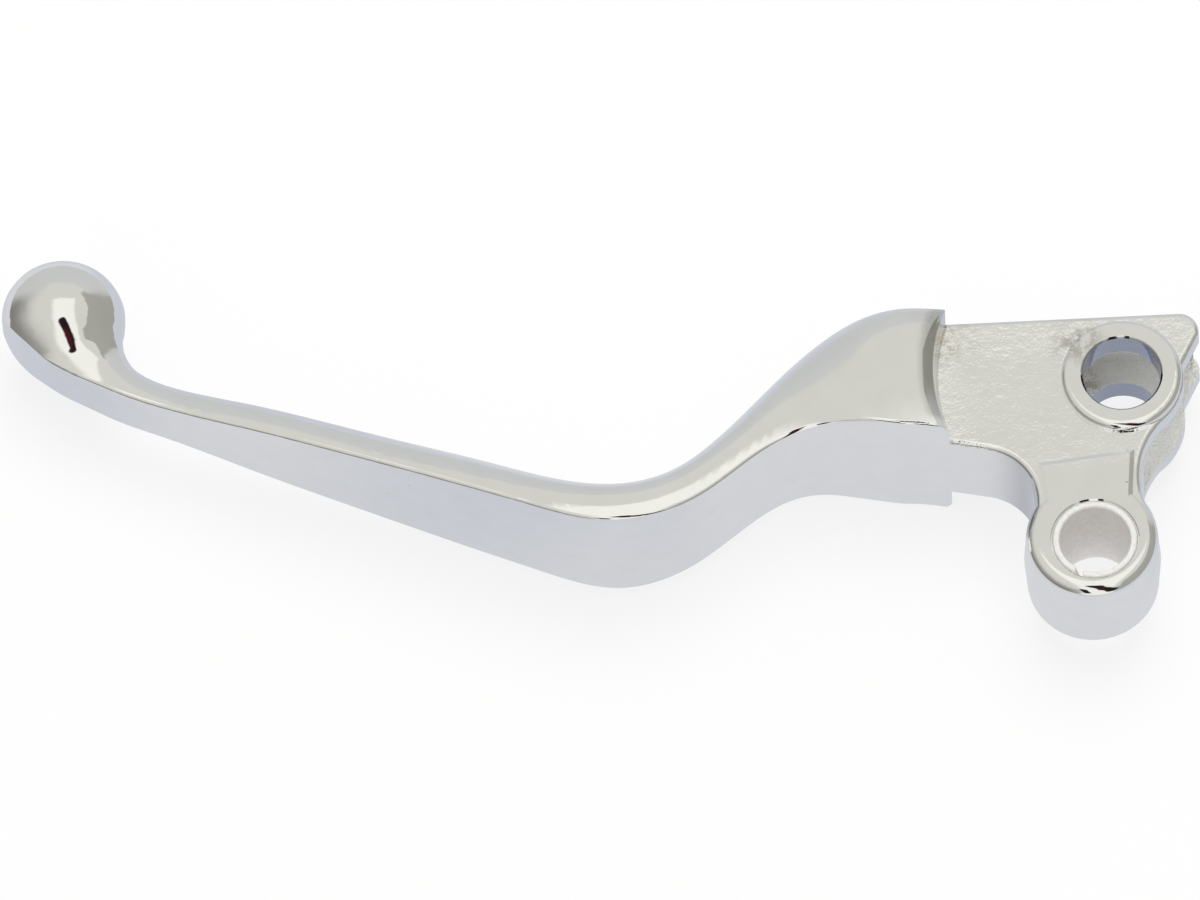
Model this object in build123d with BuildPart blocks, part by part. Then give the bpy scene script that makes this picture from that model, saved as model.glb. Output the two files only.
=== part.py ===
from build123d import *
import os
from math import cos, hypot, radians, sin, sqrt

os.makedirs("parts", exist_ok=True)

# Frame: the origin is on the pivot axis at half height, +Z runs along that axis,
# the blade runs towards -X and +Y points away from the handlebar grip.
# The lever is the same above and below Z = 0. All sizes are millimetres.

REACH = 30.0                    # past the part in Z, for cutting tools
FAR_X = -190.0                  # past the ball
SHOULDER_X = -20.0              # the blade and the step lie wholly beyond this

# ---- pivot boss and liner bush ----
BOSS_R = 10.5
BOSS_CENTRE = (-0.42, 1.0)      # the boss is cast a little off the axis of its bore
BOSS_HALF = 9.15
BOSS_DRAFT = 0.45               # radius lost between mid height and the end face
BOSS_ROUND = 2.0
BOSS_BORE_R = 6.55
BUSH_OUTER_R = 6.5
BUSH_INNER_R = 5.5
BUSH_HALF = 9.05
BUSH_CHAMFER = 0.2
SLIT_WIDTH = 1.15
SLIT_ANGLE = 266                # round the axis from +X, at half height
SLIT_LEAN = 15                  # degrees away from the axis direction

# ---- clevis ears ----
EAR_OUTER_HALF = 8.85
SLOT_HALF = 5.4
EAR_ROUND = 0.9
ANCHOR = (5.8, 27.4)
ANCHOR_BORE_R = 6.05
MOUTH_CHAMFER = 0.3             # on the mouths of both bores
RING_R = 9.6                    # end of the ears, round the anchor bore
RING_START_ANGLE = 9.6
PAD_R = 9.3
PAD_HALF = 10.35
PAD_ROUND = 1.1
POCKET_R = 13.0                 # swing room round the cable eye
WEB_INNER_Y = 37.0              # inside face of the thin web that closes the slot
EAR_FRONT = (-30.0, 5.0)        # under the grip-side cut
EAR_BACK = (-30.0, 38.65)       # the back edge leans a little along its length
EAR_TIP = (18.1, 37.9)
EAR_TIP_BEND_Y = 34.2
EAR_TIP_ROUND = 3.0
NECK_ARC_CENTRE = (21.2, 10.0)  # hollow on the +X side of the neck
NECK_FACE = [(6.0, 3.0), (6.3, 8.2), (7.0, 15.0), (-7.9, 13.6), (-7.4, 8.2), (-6.0, 3.0)]
NECK_FACE_SLOPE = 66            # degrees off upright, on the low step round the neck face

# ---- shoulder ----
STEP_CENTRE = (5.0, 27.8)       # the step down to the ears is hollow in plan
STEP_R = 28.0
STEP_ROUND = 2.6                # on the step's upper and lower rims
STEP_TOP = 14.5                 # half height at which that rounding ends
CREASE_ROUND = 0.6              # on the step and on both edges of the grip-side face
LONG_EDGE = 30.0                # those edges are all longer than this
STEP_SPAN = 15.0                # the step's foot spans more than this in Y
CORNER_CENTRE = (-21.94, 39.3)  # the step's corner away from the grip is rounded in plan
CORNER_R = 1.3
CORNER_SLOPE = 0.17             # of the shoulder's far side, in plan

# ---- grip-side face of the blade, as a curve in plan ----
BALL_WRAP = [
    (-166.6, 56.0), (-165.7, 52.0), (-164.0, 48.8), (-161.5, 45.8),
    (-158.0, 42.6), (-152.0, 38.9),
]
STRAIGHT_START = (-140.0, 33.1)
STRAIGHT_END = (-88.0, 11.35)
BEND = [(-73.0, 6.75), (-62.0, 9.3), (-50.0, 17.4), (-41.0, 20.6), (-29.0, 19.2)]
NECK_START = (-15.5, 16.6)
NECK_START_ANGLE = -13.2
HOLLOW_R = 9.1
HOLLOW_SWEEP = 110

# ---- blade sections: x, y of the grip-side face, height at that face, depth, ----
# squareness, and how far behind that face the section is highest
# (squareness 2 is a half ellipse, and higher values are nearer a rectangle)
SECTIONS = [
    (-16.0, 16.9, 28.5, 22.7, 6.5, 3.0),
    (-22.0, 18.0, 28.5, 22.6, 6.0, 3.0),
    (-28.0, 19.0, 28.6, 22.4, 5.0, 2.5),
    (-34.0, 19.9, 28.2, 21.0, 3.6, 2.0),
    (-40.0, 20.7, 25.6, 17.7, 2.7, 2.0),
    (-46.0, 19.7, 23.4, 14.3, 2.2, 2.5),
    (-52.0, 16.3, 22.8, 11.9, 2.0, 3.0),
    (-58.0, 11.9, 22.9, 10.6, 2.0, 3.2),
    (-64.0, 8.5, 23.9, 9.7, 2.0, 3.4),
    (-71.0, 6.8, 24.8, 9.5, 2.0, 3.4),
    (-80.0, 8.2, 23.9, 9.4, 2.0, 2.6),
    (-92.0, 12.9, 22.6, 9.2, 2.0, 1.0),
    (-104.0, 17.9, 20.8, 8.6, 2.0, 0.0),
    (-116.0, 23.0, 18.3, 7.9, 2.0, 0.0),
    (-128.0, 28.0, 15.3, 7.2, 2.0, 0.0),
]
FALL = 0.02                     # drop in front of the highest place, by distance squared
OVERCUT = 2.0                   # sections start this far behind the grip-side face
STEPS = 5                       # points on each quarter of a section

# ---- ball end: planes that fan out round the hollow behind the ball ----
# turn, distance out to the widest point, half height there, distance out to the
# far side, distance out to where the grip-side face has cut the section off
FAN_CENTRE = (-139.3, 47.8)
NECK_R = 8.0
BLADE_ANGLE = 156.9
FAN = [
    (0, 13.7, 5.45, 25.0, 15.6),
    (23, 13.5, 5.4, 22.0, 16.4),
    (42, 14.1, 5.55, 20.7, 18.6),
    (52, 15.0, 6.1, 22.2, 20.4),
    (59.5, 16.1, 7.2, 23.6, 23.1),
    (67.5, 17.0, 8.65, 25.7, 25.3),
    (74, 17.4, 9.35, 26.8, 26.5),
]
BALL_TURN = 81                  # the plane through the fan centre and the ball centre
BALL_OUT = 17.5
BALL_R = 9.6
BALL_RISES = (0, 20, 38, 54, 67, 77, 85)    # degrees from the ball's centre plane
CHORD = 0.99                    # share of a ball section's radius at its cut edge


def quarter(widest, half, tip, square):
    """Points from the widest place of a section round to its tip."""
    points = [(widest, half)]
    for step in range(1, STEPS):
        turn = radians(90 - 90 * step / STEPS)
        along = cos(turn) ** (2 / square)
        points.append((widest + (tip - widest) * along, half * sin(turn) ** (2 / square)))
    return points + [(tip, 0)]


def blade_half(face, height, depth, square, crest):
    """Upper half of a blade section, from behind the grip-side face to the tip."""
    top = height / 2 + FALL * crest ** 2
    start = []
    for share in (1.0, 0.5):
        before = share * (OVERCUT + crest)
        start.append((face + crest - before, top - FALL * before ** 2))
    return start + quarter(face + crest, top, face + depth, square)


def ball_half(near, widest, half, far, edge):
    """Upper half of a ball-end section, by distance out from the fan centre."""
    start = []
    for share in (1.0, 0.6):
        out = share * (edge - widest) / (far - widest)
        start.append((widest + out * (far - widest), half * sqrt(1 - out * out)))
    return start + quarter(widest, half, near, 2)


def fan_plane(turn, rise):
    """Upright plane through the fan centre, moved on by rise along its normal."""
    away = radians(BLADE_ANGLE + 90 - turn)
    normal = (sin(away), -cos(away), 0)
    return Plane(
        origin=(FAN_CENTRE[0] + rise * normal[0], FAN_CENTRE[1] + rise * normal[1], 0),
        x_dir=(cos(away), sin(away), 0),
        z_dir=normal,
    )


def all_sections():
    """Planes and upper halves of the sections, from the shoulder to the ball's far side."""
    found = []
    for x, *shape in SECTIONS:
        found.append((Plane.YZ.offset(x), blade_half(*shape)))
    for turn, widest, half, far, edge in FAN:
        found.append((fan_plane(turn, 0), ball_half(NECK_R, widest, half, far, edge)))
    for degrees in BALL_RISES:
        r = BALL_R * cos(radians(degrees))
        rise = BALL_R * sin(radians(degrees))
        upper = ball_half(BALL_OUT - r, BALL_OUT, r, BALL_OUT + r, BALL_OUT + CHORD * r)
        found.append((fan_plane(BALL_TURN, rise), upper))
    return found


def crease_edges(part):
    """The long edges of the grip-side face, and the edge round the shoulder's step."""
    return [
        edge for edge in part.edges()
        if edge.bounding_box().max.X < SHOULDER_X and edge.length > LONG_EDGE
    ]


def under_boss(edge):
    """Whether the boss covers both ends of an edge."""
    return all(hypot(v.X - BOSS_CENTRE[0], v.Y - BOSS_CENTRE[1]) < BOSS_R for v in edge.vertices())


def rim_edges(part):
    """The outside edges of the two ears, without the step and what the boss covers."""
    found = []
    for edge in part.edges():
        box = edge.bounding_box()
        flat = box.size.Z < 0.01 and abs(abs(box.min.Z) - EAR_OUTER_HALF) < 0.01
        at_step = box.max.X < SHOULDER_X and box.size.Y > STEP_SPAN
        if flat and not at_step and not under_boss(edge):
            found.append(edge)
    return found


def bore_outline(r, half):
    """Half outline of a bore's cutter, by r and z, with a chamfer at both mouths."""
    mouth = r + MOUTH_CHAMFER
    upper = [(r, half - MOUTH_CHAMFER), (mouth, half), (mouth, REACH), (0, REACH)]
    return upper + [(a, -b) for a, b in reversed(upper)] + [upper[0]]


straight_way = Vector(*STRAIGHT_END) - Vector(*STRAIGHT_START)
neck_angle = radians(NECK_START_ANGLE)
neck_way = Vector(cos(neck_angle), sin(neck_angle))

# all that lies on the grip's side of the flat face, from the ball to the boss
with BuildPart() as grip_side:
    with BuildSketch(Plane.XY.offset(-REACH)):
        with BuildLine():
            Spline(*BALL_WRAP, STRAIGHT_START, tangents=[(-0.1, -1), straight_way])
            Line(STRAIGHT_START, STRAIGHT_END)
            Spline(STRAIGHT_END, *BEND, NECK_START, tangents=[straight_way, neck_way])
            hollow = JernArc(NECK_START, neck_way, HOLLOW_R, -HOLLOW_SWEEP)
            Polyline(hollow @ 1, (-BOSS_BORE_R, -REACH), (FAR_X, -REACH),
                     (FAR_X, BALL_WRAP[0][1]), BALL_WRAP[0])
        make_face()
    extrude(amount=2 * REACH)

# all that lies beyond the end of the shoulder, with the step's upper and lower rims rounded
rim_r = STEP_R + STEP_ROUND
rim_z = STEP_TOP - STEP_ROUND
with BuildPart() as beyond_step:
    with BuildSketch(Plane(origin=(*STEP_CENTRE, 0), x_dir=(1, 0, 0), z_dir=(0, -1, 0))):
        with BuildLine():
            Polyline((rim_r, STEP_TOP), (rim_r, REACH), (0, REACH), (0, -REACH), (rim_r, -REACH),
                     (rim_r, -STEP_TOP))
            RadiusArc((rim_r, -STEP_TOP), (STEP_R, -rim_z), STEP_ROUND)
            Line((STEP_R, -rim_z), (STEP_R, rim_z))
            RadiusArc((STEP_R, rim_z), (rim_r, STEP_TOP), STEP_ROUND)
        make_face()
    revolve(axis=Axis((*STEP_CENTRE, 0), (0, 0, 1)))
    with BuildSketch(Plane.XY.offset(-REACH)):
        with BuildLine():
            far_x = CORNER_CENTRE[0] + CORNER_SLOPE * REACH
            far_y = CORNER_CENTRE[1] + REACH
            Polyline(CORNER_CENTRE, STEP_CENTRE, (STEP_CENTRE[0], far_y), (far_x, far_y),
                     CORNER_CENTRE)
        make_face()
        with Locations(CORNER_CENTRE):
            Circle(CORNER_R, mode=Mode.SUBTRACT)
    extrude(amount=2 * REACH)

# the two ears and the neck, as one block
ring_start = Vector(*ANCHOR) + Vector(RING_R, 0).rotate(Axis.Z, RING_START_ANGLE)
to_hollow = Vector(*NECK_ARC_CENTRE) - Vector(*ANCHOR)
ring_end = Vector(*ANCHOR) + to_hollow.normalized() * RING_R
neck_r = to_hollow.length - RING_R
to_boss = Vector(*BOSS_CENTRE) - Vector(*NECK_ARC_CENTRE)
neck_end = Vector(*NECK_ARC_CENTRE) + to_boss.normalized() * neck_r
with BuildPart() as ears:
    with BuildSketch(Plane.XY.offset(-EAR_OUTER_HALF)):
        with BuildLine():
            Polyline(neck_end, BOSS_CENTRE, EAR_FRONT, EAR_BACK, EAR_TIP,
                     (EAR_TIP[0], EAR_TIP_BEND_Y), ring_start)
            RadiusArc(ring_start, ring_end, RING_R)
            RadiusArc(ring_end, neck_end, -neck_r)
        make_face()
    extrude(amount=2 * EAR_OUTER_HALF)
    tip_edge = ears.edges().filter_by(Axis.Z).sort_by_distance((EAR_TIP[0], EAR_TIP[1], 0))[0]
    fillet(tip_edge, EAR_TIP_ROUND)

with BuildPart() as boss:
    with BuildSketch(Plane.XZ):
        end_r = BOSS_R - BOSS_DRAFT
        with BuildLine():
            Polyline((0, -BOSS_HALF), (end_r, -BOSS_HALF), (BOSS_R, 0), (end_r, BOSS_HALF),
                     (0, BOSS_HALF), (0, -BOSS_HALF))
        profile = make_face()
        fillet([v for v in profile.vertices() if v.X > 1 and abs(v.Y) > 1], BOSS_ROUND)
    revolve(axis=Axis.Z)

with BuildPart() as pads:
    with BuildSketch(Plane.XZ):
        with Locations((PAD_R / 2, 0)):
            profile = Rectangle(PAD_R, 2 * PAD_HALF)
        fillet([v for v in profile.vertices() if v.X > 1], PAD_ROUND)
    revolve(axis=Axis.Z)

# the neck stands a little above the ears, up to a low step across it
with BuildPart() as neck_faces:
    with BuildSketch(Plane.XY.offset(EAR_OUTER_HALF)):
        with BuildLine():
            Polyline(*NECK_FACE, NECK_FACE[0])
        make_face()
    extrude(amount=BOSS_HALF - EAR_OUTER_HALF, taper=NECK_FACE_SLOPE)
    mirror(about=Plane.XY)

# swing room for the cable eye, open towards +X and closed by a web at the back
with BuildPart() as slot:
    with BuildSketch(Plane.XY.offset(-SLOT_HALF)):
        with Locations(ANCHOR):
            Circle(POCKET_R)
            Rectangle(REACH, 2 * POCKET_R, align=(Align.MIN, Align.CENTER))
        with Locations((ANCHOR[0], WEB_INNER_Y)):
            Rectangle(3 * REACH, REACH, align=(Align.CENTER, Align.MIN), mode=Mode.SUBTRACT)
    extrude(amount=2 * SLOT_HALF)

with BuildPart() as bores:
    for (x, y), r, half in (((0, 0), BOSS_BORE_R, BOSS_HALF), (ANCHOR, ANCHOR_BORE_R, PAD_HALF)):
        with BuildSketch(Plane(origin=(x, y, 0), x_dir=(1, 0, 0), z_dir=(0, -1, 0))):
            with BuildLine():
                Polyline(*bore_outline(r, half))
            make_face()
        revolve(axis=Axis((x, y, 0), (0, 0, 1)))

# the whole casting: blade, ball and shoulder in one loft, then the forked end
with BuildPart() as lever_body:
    for plane, upper in all_sections():
        outline = upper + [(a, -b) for a, b in reversed(upper[:-1])]
        with BuildSketch(plane):
            with BuildLine():
                Spline(*outline)
                Line(outline[-1], outline[0])
            make_face()
    loft()
    add(beyond_step.part, mode=Mode.SUBTRACT)
    add(ears.part)
    add(grip_side.part, mode=Mode.SUBTRACT)
    fillet(crease_edges(lever_body), CREASE_ROUND)
    fillet(rim_edges(lever_body), EAR_ROUND)
    with Locations(BOSS_CENTRE):
        add(boss.part)
    with Locations(ANCHOR):
        add(pads.part)
    add(neck_faces.part)
    add(slot.part, mode=Mode.SUBTRACT)
    add(bores.part, mode=Mode.SUBTRACT)

# thin liner bush, split by one leaning slit
bush_wall = BUSH_OUTER_R - BUSH_INNER_R
with BuildPart() as pivot_bush:
    with BuildSketch(Plane.XY.offset(-BUSH_HALF)):
        Circle(BUSH_OUTER_R)
        Circle(BUSH_INNER_R, mode=Mode.SUBTRACT)
    extrude(amount=2 * BUSH_HALF)
    chamfer(pivot_bush.edges().filter_by(GeomType.CIRCLE), BUSH_CHAMFER)
    at_wall = Location((0, 0, 0), (0, 0, SLIT_ANGLE)) * Location((BUSH_OUTER_R, 0, 0))
    with Locations(at_wall * Location((0, 0, 0), (SLIT_LEAN, 0, 0))):
        Box(4 * bush_wall, SLIT_WIDTH, 4 * BUSH_HALF, mode=Mode.SUBTRACT)

lever_body.part.label = "lever_body"
export_step(lever_body.part, "parts/lever_body.step")
pivot_bush.part.label = "pivot_bush"
export_step(pivot_bush.part, "parts/pivot_bush.step")
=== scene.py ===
import math

import bpy
from mathutils import Matrix, Vector


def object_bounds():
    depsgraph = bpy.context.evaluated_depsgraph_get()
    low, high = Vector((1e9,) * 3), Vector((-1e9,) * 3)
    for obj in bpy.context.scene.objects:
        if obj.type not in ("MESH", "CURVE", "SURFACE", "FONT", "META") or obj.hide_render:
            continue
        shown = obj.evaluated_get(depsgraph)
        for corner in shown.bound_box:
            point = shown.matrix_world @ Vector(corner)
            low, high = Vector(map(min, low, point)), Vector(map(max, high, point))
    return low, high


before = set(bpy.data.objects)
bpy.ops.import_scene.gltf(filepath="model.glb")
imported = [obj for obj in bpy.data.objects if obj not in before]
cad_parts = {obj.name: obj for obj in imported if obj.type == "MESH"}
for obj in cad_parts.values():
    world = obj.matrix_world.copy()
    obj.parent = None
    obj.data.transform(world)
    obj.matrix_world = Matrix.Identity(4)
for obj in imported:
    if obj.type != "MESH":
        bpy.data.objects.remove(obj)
cad_low, cad_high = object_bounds()

MM = 0.001

# ---- camera: a long lens, turned a little, that looks down on the lever ----
CAMERA_ELEVATION = 64.0
CAMERA_ROLL = 3.5
CAMERA_AIM = Vector((-74.87, 24.71, 0.0)) * MM
CAMERA_LENS = 900.0
CAMERA_SENSOR = 36.0
FRAME_WIDTH = 184.6 * MM        # what the picture's long side covers at the aim point

# ---- places on the lever, in millimetres ----
STEP_CENTRE = (5.0, 27.8)       # the step at the shoulder is an arc round this point
STEP_R = 28.0
ANCHOR = (5.8, 27.4)            # cable anchor bore
ANCHOR_BORE_R = 6.05
PAD_R = 9.3                     # raised pads round that bore
POCKET_R = 13.0                 # the slot between the ears, round that bore
SLOT_HALF = 5.4
WEB_Y = 37.0                    # the slot's back wall
HOLLOW_CENTRE = (-17.6, 7.7)    # the hollow in the grip-side face, next to the boss, which gets painted shade
HOLLOW_R = 9.1
STEP_STAIN = (-20.0, 35.0)
PAD_STAIN = (-0.5, 33.5)

# ---- studio: colours are linear, and sky directions are (azimuth, elevation) in degrees ----
DARK = (0.02, 0.012, 0.014, 1)
DARK_STRIPS = [                 # start, end, half width in degrees
    ((-3, 66), (14, 34), 7),
    ((14, 34), (24, 2), 8),
    ((-17, 30), (-10, 4), 5),
]
RED = (0.13, 0.006, 0.012, 1)
RED_STRIP = ((3, 52), (12, 38), 3)
BACKGROUND = (0.93, 0.93, 0.93, 1)
FLOOR_HALF = 6.0                # metres
LIGHT_PLACE = Vector((0.1, 0.5, 1.6))
LIGHT_SIZE = 1.2                # metres
LIGHT_WATTS = 12.0
BUMP_DEPTH = 0.045 * MM         # height of the metal's surface detail


class Nodes:
    """Short calls for building one node tree."""

    def __init__(self, tree):
        self.tree = tree
        tree.nodes.clear()

    def add(self, kind, inputs=None, **settings):
        node = self.tree.nodes.new(kind)
        for name, value in settings.items():
            setattr(node, name, value)
        for key, value in (inputs or {}).items():
            self.plug(node.inputs[key], value)
        return node

    def plug(self, socket, value):
        if isinstance(value, bpy.types.NodeSocket):
            self.tree.links.new(value, socket)
        else:
            socket.default_value = value

    def math(self, operation, a, b=0.0, c=0.0, clamp=False):
        node = self.add("ShaderNodeMath", {0: a, 1: b, 2: c}, operation=operation)
        node.use_clamp = clamp
        return node.outputs[0]

    def mix(self, share, a, b):
        node = self.add("ShaderNodeMix", data_type="RGBA")
        self.plug(node.inputs["Factor"], share)
        self.plug(node.inputs[6], a)
        self.plug(node.inputs[7], b)
        return node.outputs[2]

    def remap(self, value, low, high, to_low=0.0, to_high=1.0, smooth=True):
        kind = "SMOOTHSTEP" if smooth else "LINEAR"
        node = self.add("ShaderNodeMapRange", interpolation_type=kind)
        for key, v in zip((0, 1, 2, 3, 4), (value, low, high, to_low, to_high)):
            self.plug(node.inputs[key], v)
        return node.outputs[0]

    def noise(self, vector, scale, detail=3.0, roughness=0.5):
        inputs = {"Vector": vector, "Scale": scale, "Detail": detail, "Roughness": roughness}
        return self.add("ShaderNodeTexNoise", inputs).outputs[0]


def new_material(name):
    material = bpy.data.materials.new(name)
    material.use_nodes = True
    return material, Nodes(material.node_tree)


def sky_direction(azimuth, elevation):
    """Unit vector; azimuth 0 is the camera's side and 90 is towards +X, in degrees."""
    a, e = math.radians(azimuth), math.radians(elevation)
    return Vector((math.sin(a) * math.cos(e), -math.cos(a) * math.cos(e), math.sin(e)))


def strip(n, direction, start, end, half_width, soft):
    """1 near the line between two sky directions, and 0 away from it."""
    a, b = sky_direction(*start), sky_direction(*end)
    line = b - a
    from_a = n.add("ShaderNodeVectorMath", {0: direction, 1: a}, operation="SUBTRACT").outputs[0]
    dot = n.add("ShaderNodeVectorMath", {0: from_a, 1: line}, operation="DOT_PRODUCT")
    along = n.math("DIVIDE", dot.outputs["Value"], line.length_squared, clamp=True)
    reach = n.add("ShaderNodeVectorMath", {0: line, "Scale": along}, operation="SCALE").outputs[0]
    away = n.add("ShaderNodeVectorMath", {0: from_a, 1: reach}, operation="DISTANCE")
    width = math.radians(half_width)
    return n.remap(away.outputs["Value"], width * (1 - soft), width * (1 + soft), 1.0, 0.0)


def multiply(n, *factors):
    """Product of the factors."""
    result = factors[0]
    for factor in factors[1:]:
        result = n.math("MULTIPLY", result, factor)
    return result


def studio_world():
    """A soft studio as a function of direction: pale overhead panel, walls, and the dark
    shapes near the camera that bright metal shows as thin dark lines."""
    world = bpy.data.worlds.new("studio")
    bpy.context.scene.world = world
    world.use_nodes = True
    n = Nodes(world.node_tree)
    direction = n.add("ShaderNodeTexCoord").outputs["Generated"]
    parts = n.add("ShaderNodeSeparateXYZ", {0: direction})
    x, y, z = parts.outputs
    blotch = n.noise(direction, 2.2, 2.0)
    wobble = n.math("MULTIPLY_ADD", blotch, 0.16, -0.08)
    height = n.math("ADD", z, wobble)

    sky = n.mix(n.remap(height, 0.05, 0.62), (0.46, 0.46, 0.44, 1), (0.675, 0.675, 0.635, 1))
    left = multiply(n, n.remap(x, -0.25, -0.6), n.remap(height, 0.80, -0.25))
    sky = n.mix(n.math("MULTIPLY", left, 0.75), sky, (0.16, 0.155, 0.13, 1))
    right = multiply(n, n.remap(x, 0.50, 0.58), n.remap(z, 0.70, 0.66), n.remap(y, 0.62, 0.50))
    sky = n.mix(n.math("MULTIPLY", right, 0.9), sky, (0.36, 0.36, 0.325, 1))
    back = multiply(n, n.remap(y, 0.45, 0.70), n.remap(height, 0.62, 0.50))
    sky = n.mix(n.math("MULTIPLY", back, 0.9), sky, (0.60, 0.61, 0.61, 1))
    panel = multiply(n, n.remap(y, 0.41, 0.30), n.remap(x, 0.45, 0.36), n.remap(x, -0.38, -0.2))
    sky = n.mix(n.math("MULTIPLY", panel, 0.9), sky, (0.96, 0.955, 0.91, 1))

    for start, end, half_width in DARK_STRIPS:
        sky = n.mix(strip(n, direction, start, end, half_width, 0.25), sky, DARK)
    red = strip(n, direction, *RED_STRIP, 0.4)
    sky = n.mix(n.math("MULTIPLY", red, 0.5), sky, RED)

    light = n.add("ShaderNodeBackground", {"Color": sky, "Strength": 1.0})
    plain = n.add("ShaderNodeBackground", {"Color": BACKGROUND, "Strength": 1.0})
    camera_ray = n.add("ShaderNodeLightPath").outputs["Is Camera Ray"]
    shown = n.add("ShaderNodeMixShader", {0: camera_ray, 1: light.outputs[0], 2: plain.outputs[0]})
    n.add("ShaderNodeOutputWorld", {"Surface": shown.outputs[0]})


def flat_distance(n, vector, centre):
    """Distance in plan, in millimetres, from the stated point."""
    offset = n.add("ShaderNodeVectorMath", {0: vector, 1: (*centre, 0)}, operation="SUBTRACT")
    flat = n.add("ShaderNodeVectorMath", {0: offset.outputs[0], 1: (1, 1, 0)}, operation="MULTIPLY")
    length = n.add("ShaderNodeVectorMath", {0: flat.outputs[0]}, operation="LENGTH")
    return length.outputs["Value"]


def object_place(n):
    """Position on the object, in millimetres."""
    coords = n.add("ShaderNodeTexCoord").outputs["Object"]
    return n.add("ShaderNodeVectorMath", {0: coords, "Scale": 1 / MM}, operation="SCALE").outputs[0]


def lever_regions(n, place):
    """Masks for the parts of the casting whose surfaces differ, and for three places where shade is
    painted.
    """
    x, y, z = n.add("ShaderNodeSeparateXYZ", {0: place}).outputs
    half_height = n.math("ABSOLUTE", z)
    from_step = flat_distance(n, place, STEP_CENTRE)
    from_anchor = flat_distance(n, place, ANCHOR)
    from_hollow = flat_distance(n, place, HOLLOW_CENTRE)
    slot_low, slot_high = SLOT_HALF + 0.05, SLOT_HALF + 0.2

    ears = multiply(n, n.remap(from_step, STEP_R - 0.1, STEP_R - 0.7), n.remap(y, 11.0, 15.0))
    return {
        "ears": ears,
        "pads": n.remap(from_anchor, PAD_R + 0.3, PAD_R - 0.3),
        "near_step": multiply(n, ears, n.remap(from_step, 22.0, 27.0)),
        "near_back": multiply(n, ears, n.remap(y, 29.0, 37.0)),
        "slot": multiply(n, n.remap(half_height, slot_high, slot_low),
                         n.remap(from_anchor, POCKET_R + 0.3, POCKET_R + 0.1),
                         n.remap(y, WEB_Y + 0.4, WEB_Y + 0.15)),
        # painted shade: the bore wall is tinted darker blue-grey in place of the dark surroundings it
        # would reflect
        "bore": multiply(n, n.remap(from_anchor, ANCHOR_BORE_R + 0.25, ANCHOR_BORE_R + 0.1),
                         n.remap(half_height, slot_low, slot_high)),
        # painted shade: a dark band painted along the wall of the step
        "painted_step_shade": multiply(n, n.remap(from_step, STEP_R - 0.3, STEP_R + 0.2),
                              n.remap(from_step, STEP_R + 3.0, STEP_R + 1.2),
                              n.remap(x, -18.0, -20.0), n.remap(y, 19.4, 20.8)),
        # painted shade: darkening painted into the hollow, for the boss's side that it would reflect
        "hollow": multiply(n, n.remap(from_hollow, HOLLOW_R + 0.5, HOLLOW_R + 0.2),
                           n.remap(x, -20.0, -12.0), n.remap(y, 17.5, 13.0)),
    }


def cast_texture(n, at):
    """How strong the cast grain is: most near the step, at the back edge and in the slot."""
    strength = n.math("MULTIPLY_ADD", n.math("MAXIMUM", at["near_step"], at["near_back"]), 0.55, 0.45)
    cast = multiply(n, at["ears"], strength, n.math("MULTIPLY_ADD", at["pads"], -0.75, 1.0))
    return n.math("MAXIMUM", cast, n.math("MULTIPLY", at["slot"], 2.2))


def pit_marks(n, place, at):
    """Small round pits in a few places, none of them on the ears."""
    cells = n.add("ShaderNodeTexVoronoi", {"Vector": place, "Scale": 0.2}).outputs["Distance"]
    return multiply(n, n.remap(cells, 0.015, 0.04, 1.0, 0.0),
                    n.remap(n.noise(place, 0.07, 1.0), 0.5, 0.56),
                    n.math("SUBTRACT", 1.0, at["ears"]))


def stain_mask(n, place, centre, reach, scale, low):
    """Blotchy mark round a place."""
    return multiply(n, n.remap(flat_distance(n, place, centre), reach, 1.0),
                    n.remap(n.noise(place, scale, 4.0, 0.7), low, 0.62))


def lever_tint(n, place, at, pits):
    """Base colour of the chrome, with its stains, and with shade painted in the bore, on the step and
    in the hollow.
    """
    tint = n.mix(n.noise(place, 0.28, 1.0), (0.90, 0.90, 0.885, 1), (0.955, 0.955, 0.945, 1))
    step_stain = stain_mask(n, place, STEP_STAIN, 6.0, 0.6, 0.42)
    pad_stain = stain_mask(n, place, PAD_STAIN, 5.5, 0.5, 0.42)
    tint = n.mix(n.math("MULTIPLY", step_stain, 0.45), tint, (0.42, 0.33, 0.17, 1))
    tint = n.mix(n.math("MULTIPLY", pad_stain, 0.55), tint, (0.30, 0.24, 0.20, 1))
    tint = n.mix(n.math("MULTIPLY", pits, 0.6), tint, (0.12, 0.12, 0.13, 1))

    # painted shade: these three tints stand in for dark reflections of surroundings that the studio
    # doesn't hold
    tint = n.mix(at["bore"], tint, (0.40, 0.42, 0.48, 1))
    tint = n.mix(n.math("MULTIPLY", at["painted_step_shade"], 0.6), tint, (0.48, 0.48, 0.46, 1))
    return n.mix(n.math("MULTIPLY", at["hollow"], 0.8), tint, (0.52, 0.53, 0.55, 1))


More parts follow.
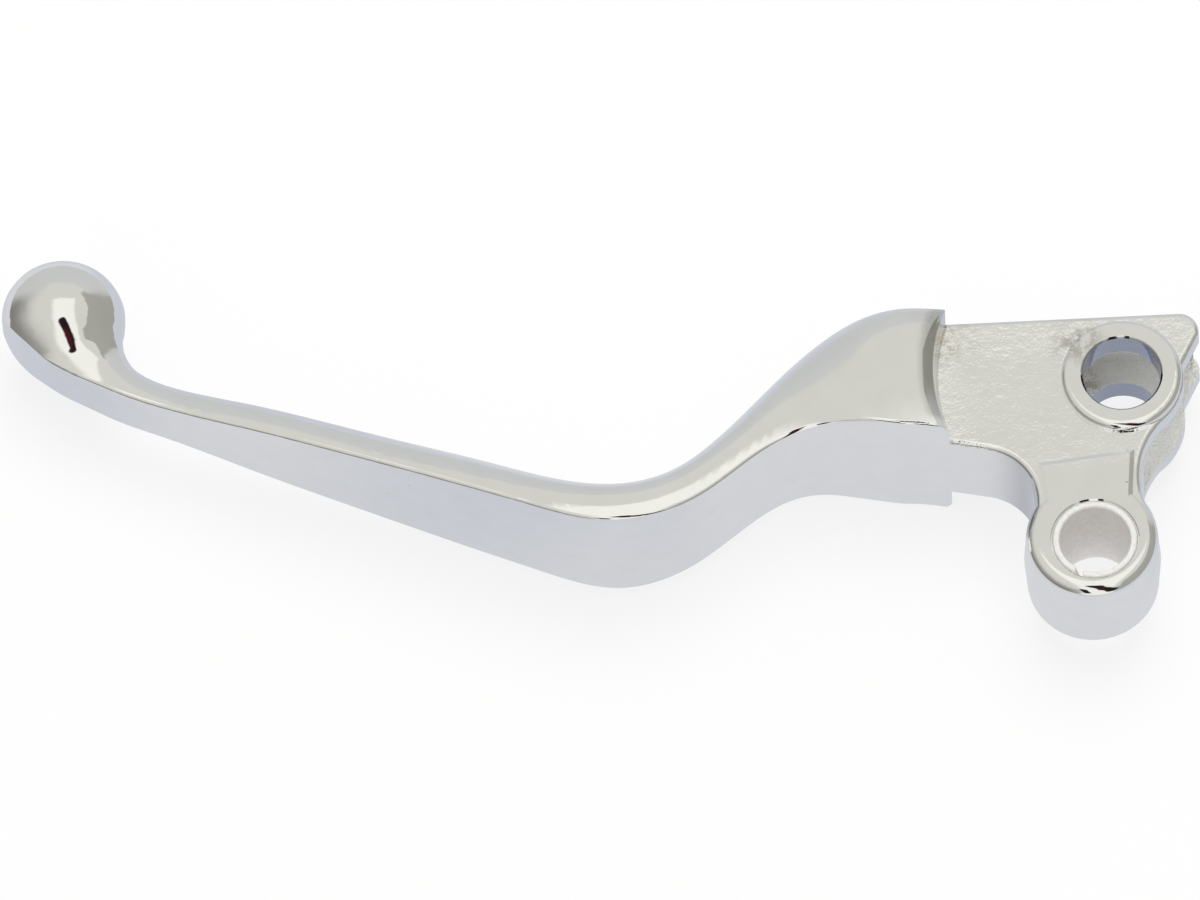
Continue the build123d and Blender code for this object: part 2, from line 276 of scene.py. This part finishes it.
def chrome():
    """Bright chrome: polished on the blade, with cast grain on the ears, and rougher and less
    metallic inside the slot."""
    material, n = new_material("bright_chrome")
    place = object_place(n)
    at = lever_regions(n, place)
    cast = cast_texture(n, at)
    pits = pit_marks(n, place, at)

    fine_peel = n.noise(place, 2.6, 2.0, 0.6)
    grain = n.math("ADD", n.noise(place, 0.85, 2.0, 0.55), n.math("MULTIPLY", fine_peel, 0.45))
    ripple = n.math("MULTIPLY", n.noise(place, 0.09, 1.0), 2.2)
    relief = n.math("MULTIPLY", grain, n.math("MULTIPLY", cast, 2.4))
    relief = n.math("ADD", relief, ripple)
    relief = n.math("SUBTRACT", relief, n.math("MULTIPLY", pits, 0.9))
    bump = n.add("ShaderNodeBump", {"Strength": 1.0, "Distance": BUMP_DEPTH, "Height": relief})

    smudge = n.remap(n.noise(place, 0.16, 4.0, 0.6), 0.45, 0.75)
    rough = n.math("MULTIPLY_ADD", smudge, 0.03, 0.035)
    rough = n.math("ADD", rough, n.math("MULTIPLY", cast, 0.09))
    rough = n.math("ADD", rough, n.math("MULTIPLY", at["slot"], 0.12))
    shader = n.add("ShaderNodeBsdfPrincipled", {
        "Base Color": lever_tint(n, place, at, pits), "Roughness": rough,
        "Metallic": n.math("MULTIPLY_ADD", at["slot"], -0.6, 1.0), "Normal": bump.outputs[0],
    })
    n.add("ShaderNodeOutputMaterial", {"Surface": shader.outputs[0]})
    return material


def bush_plastic():
    """Milky plastic, a little scuffed."""
    material, n = new_material("milky_plastic")
    place = object_place(n)
    scuff = n.noise(place, 1.2, 4.0, 0.6)
    color = n.mix(n.remap(scuff, 0.35, 0.7), (0.93, 0.915, 0.90, 1), (0.86, 0.82, 0.80, 1))
    bump = n.add("ShaderNodeBump", {"Strength": 0.5, "Distance": 0.02 * MM, "Height": scuff})
    shader = n.add("ShaderNodeBsdfPrincipled", {
        "Base Color": color, "Roughness": n.math("MULTIPLY_ADD", scuff, 0.2, 0.28),
        "Subsurface Weight": 0.5, "Subsurface Radius": (1.0, 0.85, 0.75),
        "Subsurface Scale": 1.2 * MM, "Normal": bump.outputs[0],
    })
    n.add("ShaderNodeOutputMaterial", {"Surface": shader.outputs[0]})
    return material


def floor_material():
    """Near white to the camera, with a glow of its own, so that shadows stay faint. In reflections
    it is cooler and blotchy, and cut away near the horizon, so that the studio's walls show."""
    material, n = new_material("pale_floor")
    glossy = n.add("ShaderNodeLightPath").outputs["Is Glossy Ray"]
    geometry = n.add("ShaderNodeNewGeometry").outputs
    slope = n.add("ShaderNodeSeparateXYZ", {0: geometry["Incoming"]}).outputs["Z"]
    blotch = n.remap(n.noise(geometry["Position"], 16.0, 1.0), 0.35, 0.65)
    cool_color = n.mix(blotch, (0.485, 0.515, 0.60, 1), (0.61, 0.625, 0.665, 1))
    gone = multiply(n, glossy, n.remap(slope, 0.33, 0.28))
    matte = n.add("ShaderNodeBsdfDiffuse", {"Color": (0.22, 0.22, 0.22, 1)})
    glow = n.add("ShaderNodeEmission", {"Color": (0.78, 0.78, 0.785, 1), "Strength": 1.0})
    diffuse = n.add("ShaderNodeAddShader", {0: matte.outputs[0], 1: glow.outputs[0]})
    cool = n.add("ShaderNodeEmission", {"Color": cool_color, "Strength": 1.0})
    share = n.math("MULTIPLY", glossy, 0.8)
    lit = n.add("ShaderNodeMixShader", {0: share, 1: diffuse.outputs[0], 2: cool.outputs[0]})
    clear = n.add("ShaderNodeBsdfTransparent")
    shown = n.add("ShaderNodeMixShader", {0: gone, 1: lit.outputs[0], 2: clear.outputs[0]})
    n.add("ShaderNodeOutputMaterial", {"Surface": shown.outputs[0]})
    return material


def paint(obj, material):
    obj.data.materials.clear()
    obj.data.materials.append(material)


def make_floor():
    around = ((-1, -1), (1, -1), (1, 1), (-1, 1))
    corners = [(x * FLOOR_HALF, y * FLOOR_HALF, cad_low.z) for x, y in around]
    mesh = bpy.data.meshes.new("floor")
    mesh.from_pydata(corners, [], [(0, 1, 2, 3)])
    floor = bpy.data.objects.new("floor", mesh)
    bpy.context.scene.collection.objects.link(floor)
    paint(floor, floor_material())


def make_lights():
    data = bpy.data.lights.new("overhead", "AREA")
    data.shape = "DISK"
    data.size = LIGHT_SIZE
    data.energy = LIGHT_WATTS
    light = bpy.data.objects.new("overhead", data)
    light.location = LIGHT_PLACE
    light.rotation_euler = (-LIGHT_PLACE).to_track_quat("-Z", "Y").to_euler()
    light.visible_glossy = False
    bpy.context.scene.collection.objects.link(light)


def make_camera():
    elevation, roll = math.radians(CAMERA_ELEVATION), math.radians(CAMERA_ROLL)
    back = Vector((0, -math.cos(elevation), math.sin(elevation)))
    level_up = Vector((0, math.sin(elevation), math.cos(elevation)))
    right = Vector((math.cos(roll), 0, 0)) - math.sin(roll) * level_up
    up = Vector((math.sin(roll), 0, 0)) + math.cos(roll) * level_up
    data = bpy.data.cameras.new("camera")
    data.lens = CAMERA_LENS
    data.sensor_width = CAMERA_SENSOR
    data.clip_end = 100.0
    camera = bpy.data.objects.new("camera", data)
    distance = FRAME_WIDTH * CAMERA_LENS / CAMERA_SENSOR
    turned = Matrix((right, up, back)).transposed().to_4x4()
    camera.matrix_world = Matrix.Translation(CAMERA_AIM + back * distance) @ turned
    bpy.context.scene.collection.objects.link(camera)
    bpy.context.scene.camera = camera


paint(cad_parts["lever_body"], chrome())
paint(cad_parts["pivot_bush"], bush_plastic())
studio_world()
make_floor()
make_lights()
make_camera()
bpy.context.scene.view_settings.view_transform = "Standard"
